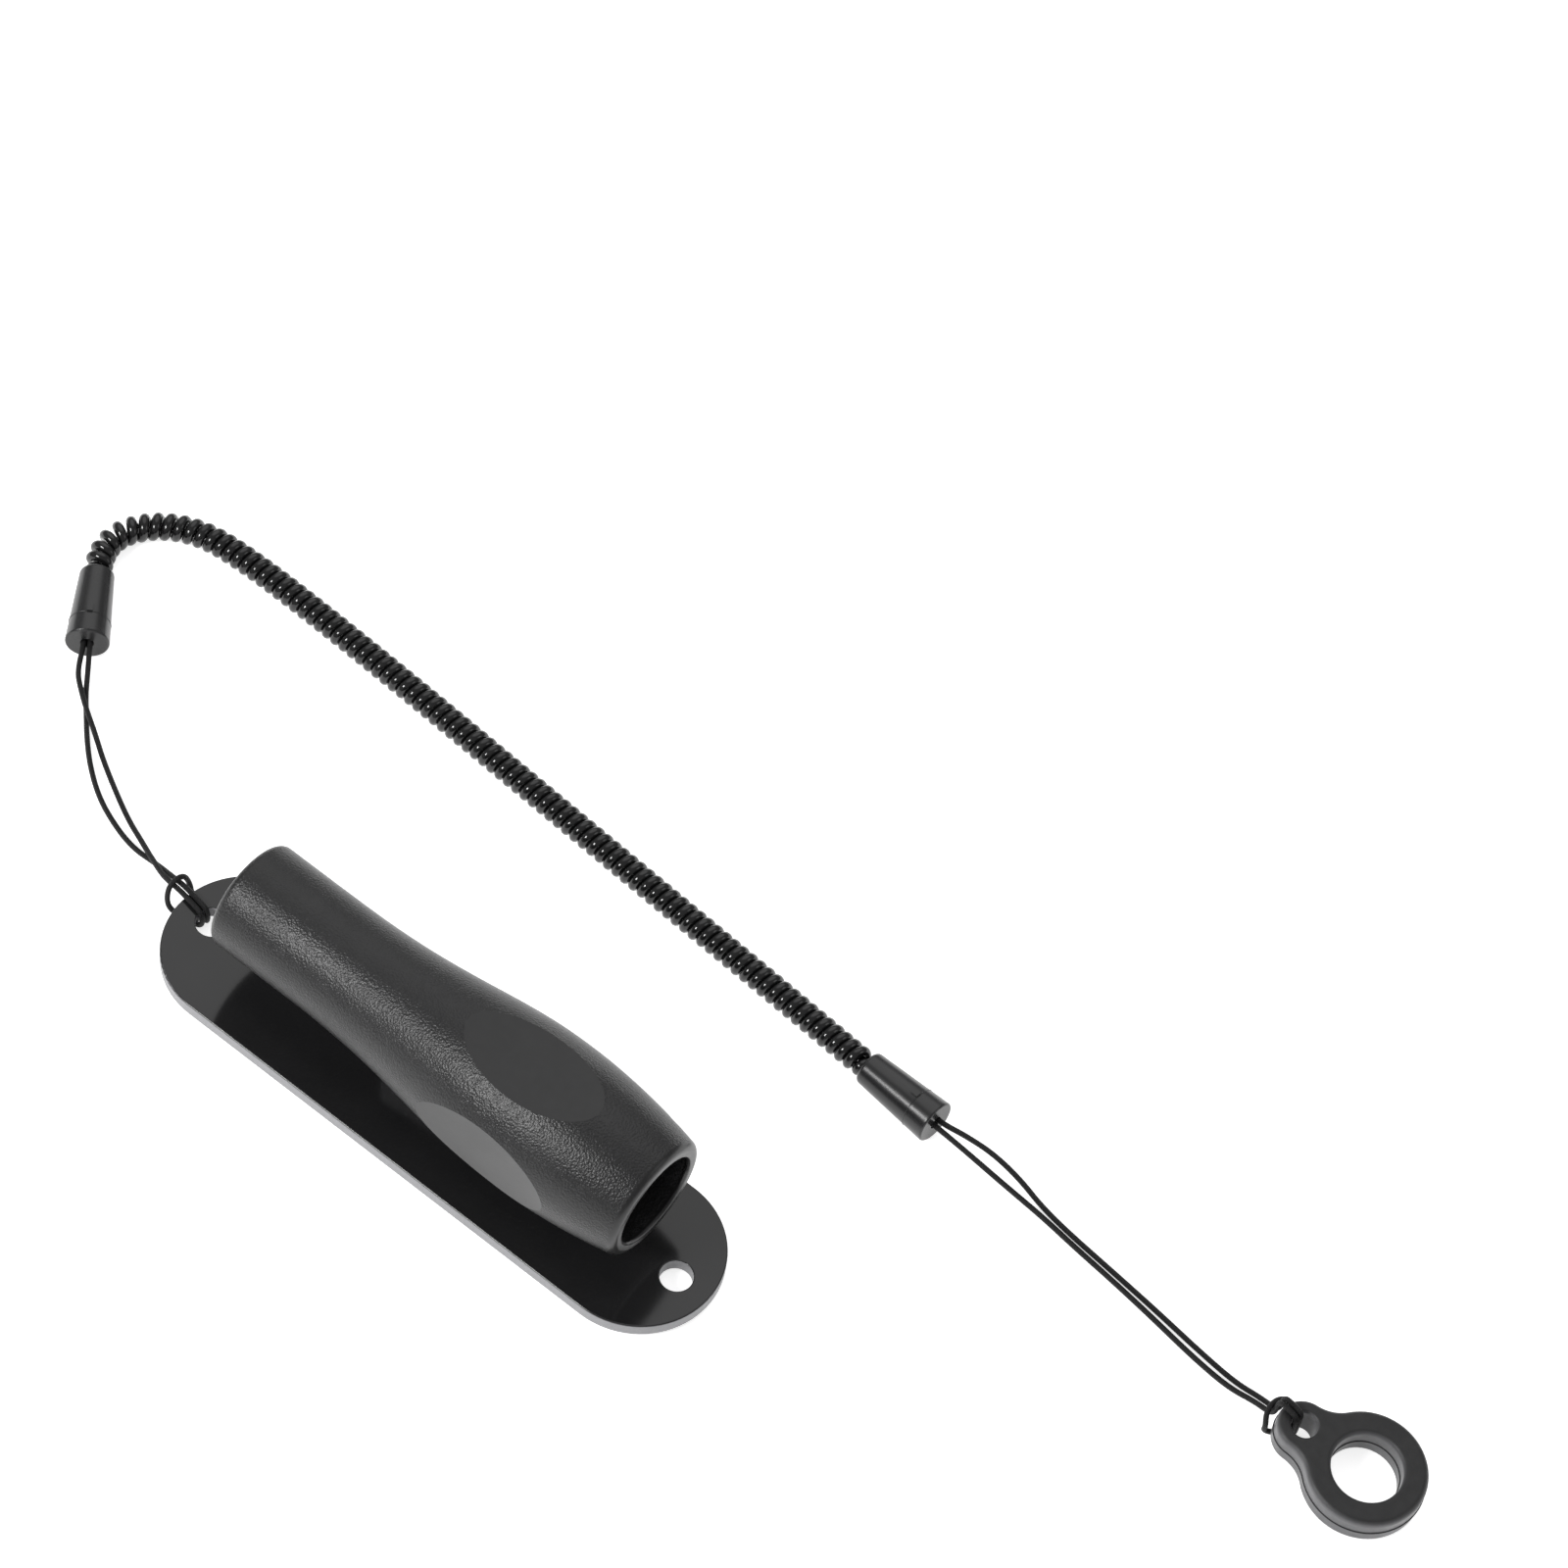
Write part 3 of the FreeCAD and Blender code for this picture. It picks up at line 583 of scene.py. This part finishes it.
plate_hitch = turned((-HOLE_X, 0), PLATE_HITCH_HEADING, PLATE_HITCH)
ring_hitch = turned(EYELET_PLACE, RING_HITCH_HEADING, RING_HITCH)
plate_route = loop_route("rear", PLATE_STRAND_OVER, plate_hitch, PLATE_STRAND_UNDER)
ring_route = loop_route("front", RING_STRAND_LOWER, ring_hitch, RING_STRAND_UPPER)
loop_cord("plate_loop_braid", "plate_loop_cord", "tether", plate_route)
loop_cord("ring_loop_braid", "ring_loop_cord", "tether_end", ring_route)
coil_cord()


# ---------------------------------------------------------------- CAD nodes and small trim
for entry in frame["record"]["subparts"]:
    node = frame["nodes"][entry["node"]]
    if not node.hide_render:
        finish_piece(node, entry["material_slot"])


def bead(name, outline, matrix, across, bead_mm):
    """A fine round bead along a closed outline, given in mm in the matrix's own frame."""
    points = [matrix @ Vector(place) * MM for place in outline]
    count = len(points)
    up = matrix.to_3x3() @ Vector(across)
    verts = []
    for k, place in enumerate(points):
        ahead = (points[(k + 1) % count] - points[k - 1]).normalized()
        side = ahead.cross(up).normalized()
        for j in range(BEAD_SIDES):
            angle = 2 * math.pi * j / BEAD_SIDES
            verts.append(place + (side * math.cos(angle) + up * math.sin(angle)) * bead_mm * MM)
    faces = []
    for k in range(count):
        here, there = k * BEAD_SIDES, (k + 1) % count * BEAD_SIDES
        for j in range(BEAD_SIDES):
            m = (j + 1) % BEAD_SIDES
            faces.append((here + j, here + m, there + m, there + j))
    return mesh_object(name, verts, faces)


def arc(centre, radius, start, end, count):
    """Points from one angle up to, and without, another, in degrees."""
    angles = [math.radians(start + (end - start) * k / count) for k in range(count)]
    return [(centre[0] + radius * math.cos(a), centre[1] + radius * math.sin(a)) for a in angles]


def ring_outline(z):
    """The ring's outside: ring circle, concave neck, lug circle and the other neck."""
    reach_ring, reach_lug = RING_RADIUS + NECK_RADIUS, LUG_RADIUS + NECK_RADIUS
    along = (reach_ring ** 2 - reach_lug ** 2 + EYELET_TO_RING ** 2) / (2 * EYELET_TO_RING)
    neck = (-along, math.sqrt(reach_ring ** 2 - along ** 2))
    to_ring = math.degrees(math.atan2(neck[1], neck[0]))
    to_lug = math.degrees(math.atan2(neck[1], neck[0] + EYELET_TO_RING))
    half = arc((0, 0), RING_RADIUS, 0, to_ring, 60)
    half += arc(neck, NECK_RADIUS, to_ring - 180, to_lug - 180, 24)
    half += arc((-EYELET_TO_RING, 0), LUG_RADIUS, to_lug, 180, 30)
    tip = [(-EYELET_TO_RING - LUG_RADIUS, 0)]
    other = [(x, -y) for x, y in reversed(half[1:])]
    return [(x, y, z) for x, y in half + tip + other]


def ferrule_seam_outline():
    """Circle round a ferrule where its shell and plug meet."""
    share = FERRULE_SEAM / FERRULE_LENGTH
    radius = FERRULE_NARROW_RADIUS + share * (FERRULE_WIDE_RADIUS - FERRULE_NARROW_RADIUS)
    return [(FERRULE_SEAM, y, z) for y, z in arc((0, 0), radius, 0, 360, 72)]


for name, body in (("rear", "tether"), ("front", "tether_end")):
    seam = bead(f"{name}_ferrule_seam", ferrule_seam_outline(), ferrule_frame(name), (1, 0, 0),
                SEAM_BEAD)
    finish_piece(seam, "ferrule")
    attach(seam, body)

HALF_RING = RING_THICKNESS / 2
PARTING_LINES = {
    "ring_bore_parting_line": [(x, y, HALF_RING) for x, y in arc((0, 0), RING_BORE_RADIUS, 0, 360, 96)],
    "ring_outer_parting_line": ring_outline(HALF_RING),
}
for name, outline in PARTING_LINES.items():
    line = bead(name, outline, ring_frame(), (0, 0, 1), PARTING_BEAD)
    finish_piece(line, "ring", "ring_line")
    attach(line, "ring")


# ---------------------------------------------------------------- studio, in metres
FLOOR_HALF = 3.0
FLOOR_Z = -2e-5
FLOOR_GLOW = 0.75

# Brightness of the dome and of its bright patch, and the cosines between which it fades
DOME_STRENGTH = 0.35
PATCH_STRENGTH = 1.3
PATCH_EDGE = 0.76
PATCH_CORE = 0.94
PATCH_DIRECTION = (-0.28, 0.48, 0.83)


def floor_material():
    """Matte white that shows at full brightness to the camera, in reflections and through glass."""
    m = Nodes("studio_floor", (0.9, 0.9, 0.9), 0.9)
    m.shader.inputs["Specular IOR Level"].default_value = 0.0
    rays = m.add("ShaderNodeLightPath").outputs
    indirect = m.math("MAXIMUM", rays["Is Glossy Ray"], rays["Is Transmission Ray"])
    seen = m.math("MAXIMUM", rays["Is Camera Ray"], indirect)
    m.shader.inputs["Emission Color"].default_value = (1, 1, 1, 1)
    return m.set(Emission_Strength=m.math("MULTIPLY", seen, FLOOR_GLOW))


def make_floor():
    corners = [(x * FLOOR_HALF, y * FLOOR_HALF, FLOOR_Z) for x, y in ((-1, -1), (1, -1), (1, 1), (-1, 1))]
    floor = mesh_object("studio_floor", corners, [(0, 1, 2, 3)])
    floor.data.materials.append(floor_material())


def area_light(name, place, target, size, energy):
    """Rectangular lamp that faces its target; energy in watts."""
    data = bpy.data.lights.new(name, "AREA")
    data.shape = "RECTANGLE"
    data.size, data.size_y = size
    data.energy = energy
    lamp = bpy.data.objects.new(name, data)
    place, target = Vector(place), Vector(target)
    turn = (place - target).to_track_quat("Z", "Y").to_matrix().to_4x4()
    lamp.matrix_world = Matrix.Translation(place) @ turn
    scene.collection.objects.link(lamp)


def make_world():
    """Soft dim dome with one broad bright patch behind the object; the camera sees plain white."""
    world = bpy.data.worlds.new("studio")
    world.use_nodes = True
    tree = world.node_tree
    background = tree.nodes["Background"]
    background.inputs["Color"].default_value = (1, 1, 1, 1)
    rays = tree.nodes.new("ShaderNodeLightPath")
    direction = tree.nodes.new("ShaderNodeTexCoord")
    towards = tree.nodes.new("ShaderNodeVectorMath")
    towards.operation = "DOT_PRODUCT"
    tree.links.new(direction.outputs["Generated"], towards.inputs[0])
    towards.inputs[1].default_value = PATCH_DIRECTION
    dome = tree.nodes.new("ShaderNodeMapRange")
    dome.interpolation_type = "SMOOTHSTEP"
    tree.links.new(towards.outputs["Value"], dome.inputs["Value"])
    dome.inputs["From Min"].default_value = PATCH_EDGE
    dome.inputs["From Max"].default_value = PATCH_CORE
    dome.inputs["To Min"].default_value = DOME_STRENGTH
    dome.inputs["To Max"].default_value = PATCH_STRENGTH
    seen = tree.nodes.new("ShaderNodeMapRange")
    tree.links.new(rays.outputs["Is Camera Ray"], seen.inputs["Value"])
    tree.links.new(dome.outputs["Result"], seen.inputs["To Min"])
    seen.inputs["To Max"].default_value = 1.0
    tree.links.new(seen.outputs["Result"], background.inputs["Strength"])
    scene.world = world


make_floor()
make_world()
area_light("key", place=(-0.30, -0.66, 0.70), target=(0, 0, 0.01), size=(0.36, 0.24), energy=7.6)
area_light("side", place=(0.75, 0.35, 0.45), target=(0.1, 0.02, 0), size=(0.4, 0.4), energy=0.5)
scene.view_settings.view_transform = "Standard"
